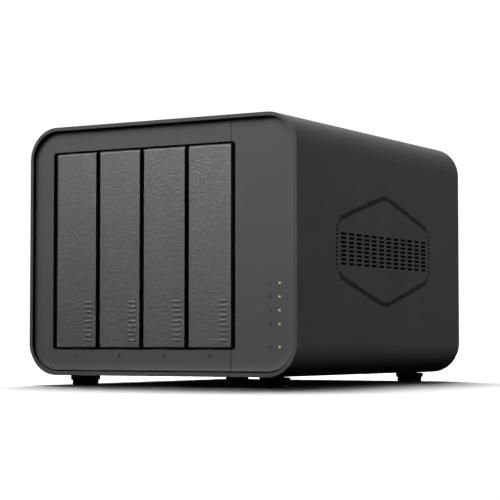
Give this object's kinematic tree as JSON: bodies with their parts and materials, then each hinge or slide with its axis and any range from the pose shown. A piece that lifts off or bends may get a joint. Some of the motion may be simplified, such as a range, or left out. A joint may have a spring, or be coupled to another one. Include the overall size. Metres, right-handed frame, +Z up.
{
  "type": "network storage enclosure",
  "caption": "Desktop storage enclosure: rounded sleeve on feet with a pull-off side cover, slide-out drive trays with rocker fronts, circuit boards and a rear fan.",
  "frame": {"origin": "centre of the footprint, on the surface the feet stand on", "axes": "+X to the right seen from the front, +Y to the back (the trays' fronts face -Y), +Z up"},
  "size_m": [0.181, 0.219, 0.152],
  "materials": {
    "shell_plastic": "fine matt texture",
    "panel_plastic": "fine matt texture",
    "tray_front_plastic": "leather-like grain",
    "tray_plastic": "satin",
    "lamp_plastic": "lit light pipe",
    "circuit_board": "solder mask",
    "sheet_steel": "galvanised",
    "rear_steel": "matt powder coat",
    "foot_plastic": "matt",
    "foot_rubber": "matt",
    "socket_plastic": "satin",
    "port_steel": "nickel plated",
    "standoff_brass": "turned",
    "chip_metal": "satin",
    "cooler_aluminium": "anodised",
    "fan_plastic": "satin",
    "motor_metal": "enamelled wire",
    "screw_steel": "zinc plated",
    "plunger_plastic": "satin",
    "button_plastic": "satin"
  },
  "bodies": {
    "chassis": {"main_shell": "shell_plastic", "bay_bezel": "panel_plastic", "indicator_panel": "panel_plastic", "status_lamps": "lamp_plastic", "lamp_board": "circuit_board", "lamp_bracket": "sheet_steel", "base_plate": "sheet_steel", "foot_cups": "foot_plastic", "foot_front_left": "foot_rubber", "foot_front_right": "foot_rubber", "foot_back_left": "foot_rubber", "foot_back_right": "foot_rubber", "cage_left_wall": "sheet_steel", "cage_right_wall": "sheet_steel", "cage_top": "sheet_steel", "cage_bottom": "sheet_steel", "guide_top": "tray_plastic", "guide_bottom": "tray_plastic", "backplane_board": "circuit_board", "sata_sockets": "socket_plastic", "backplane_connector": "socket_plastic", "mainboard": "circuit_board", "board_standoffs": "standoff_brass", "processor": "chip_metal", "heat_sink": "cooler_aluminium", "memory_socket": "socket_plastic", "memory_module": "circuit_board", "lan_ports": "port_steel", "usb_ports": "port_steel", "hdmi_port": "port_steel", "dc_jack": "socket_plastic", "power_switch": "socket_plastic", "rear_panel": "rear_steel", "rear_screws": "screw_steel", "fan_frame": "fan_plastic", "fan_motor": "motor_metal", "fan_screws": "screw_steel"},
    "side_cover": {"side_cover": "shell_plastic"},
    "fan_rotor": {"fan_rotor": "fan_plastic"},
    "power_button": {"power_button": "button_plastic"},
    "tray_1": {"tray_1": "tray_plastic", "handle_pin_1": "screw_steel", "handle_spring_1": "screw_steel"},
    "handle_1": {"tray_handle_1": "tray_front_plastic"},
    "plunger_1": {"latch_plunger_1": "plunger_plastic"},
    "tray_2": {"tray_2": "tray_plastic", "handle_pin_2": "screw_steel", "handle_spring_2": "screw_steel"},
    "handle_2": {"tray_handle_2": "tray_front_plastic"},
    "plunger_2": {"latch_plunger_2": "plunger_plastic"},
    "tray_3": {"tray_3": "tray_plastic", "handle_pin_3": "screw_steel", "handle_spring_3": "screw_steel"},
    "handle_3": {"tray_handle_3": "tray_front_plastic"},
    "plunger_3": {"latch_plunger_3": "plunger_plastic"},
    "tray_4": {"tray_4": "tray_plastic", "handle_pin_4": "screw_steel", "handle_spring_4": "screw_steel"},
    "handle_4": {"tray_handle_4": "tray_front_plastic"},
    "plunger_4": {"latch_plunger_4": "plunger_plastic"}
  },
  "joints": [
    {"name": "cover_pull", "type": "slide", "parent": "chassis", "child": "side_cover", "axis": [1, 0, 0], "range_m": [0, 0.06]},
    {"name": "fan_spin", "type": "hinge", "parent": "chassis", "child": "fan_rotor", "pos_m": [-0.0126, 0.09, 0.079], "axis": [0, 1, 0], "continuous": true},
    {"name": "power_press", "type": "slide", "parent": "chassis", "child": "power_button", "axis": [0, -1, 0], "range_m": [0, 0.0015], "stiffness_N_per_m": 400, "springref_m": -0.001},
    {"name": "tray_1_slide", "type": "slide", "parent": "chassis", "child": "tray_1", "axis": [0, -1, 0], "range_m": [0, 0.165]},
    {"name": "handle_1_swing", "type": "hinge", "parent": "tray_1", "child": "handle_1", "pos_m": [-0.05842, -0.1022, 0.0358], "axis": [1, 0, 0], "range_deg": [0, 35]},
    {"name": "plunger_1_press", "type": "slide", "parent": "tray_1", "child": "plunger_1", "axis": [0, 1, 0], "range_m": [0, 0.002], "stiffness_N_per_m": 200, "springref_m": -0.001},
    {"name": "tray_2_slide", "type": "slide", "parent": "chassis", "child": "tray_2", "axis": [0, -1, 0], "range_m": [0, 0.165]},
    {"name": "handle_2_swing", "type": "hinge", "parent": "tray_2", "child": "handle_2", "pos_m": [-0.02788, -0.1022, 0.0358], "axis": [1, 0, 0], "range_deg": [0, 35]},
    {"name": "plunger_2_press", "type": "slide", "parent": "tray_2", "child": "plunger_2", "axis": [0, 1, 0], "range_m": [0, 0.002], "stiffness_N_per_m": 200, "springref_m": -0.001},
    {"name": "tray_3_slide", "type": "slide", "parent": "chassis", "child": "tray_3", "axis": [0, -1, 0], "range_m": [0, 0.165]},
    {"name": "handle_3_swing", "type": "hinge", "parent": "tray_3", "child": "handle_3", "pos_m": [0.00267, -0.1022, 0.0358], "axis": [1, 0, 0], "range_deg": [0, 35]},
    {"name": "plunger_3_press", "type": "slide", "parent": "tray_3", "child": "plunger_3", "axis": [0, 1, 0], "range_m": [0, 0.002], "stiffness_N_per_m": 200, "springref_m": -0.001},
    {"name": "tray_4_slide", "type": "slide", "parent": "chassis", "child": "tray_4", "axis": [0, -1, 0], "range_m": [0, 0.165]},
    {"name": "handle_4_swing", "type": "hinge", "parent": "tray_4", "child": "handle_4", "pos_m": [0.03322, -0.1022, 0.0358], "axis": [1, 0, 0], "range_deg": [0, 35]},
    {"name": "plunger_4_press", "type": "slide", "parent": "tray_4", "child": "plunger_4", "axis": [0, 1, 0], "range_m": [0, 0.002], "stiffness_N_per_m": 200, "springref_m": -0.001}
  ]
}
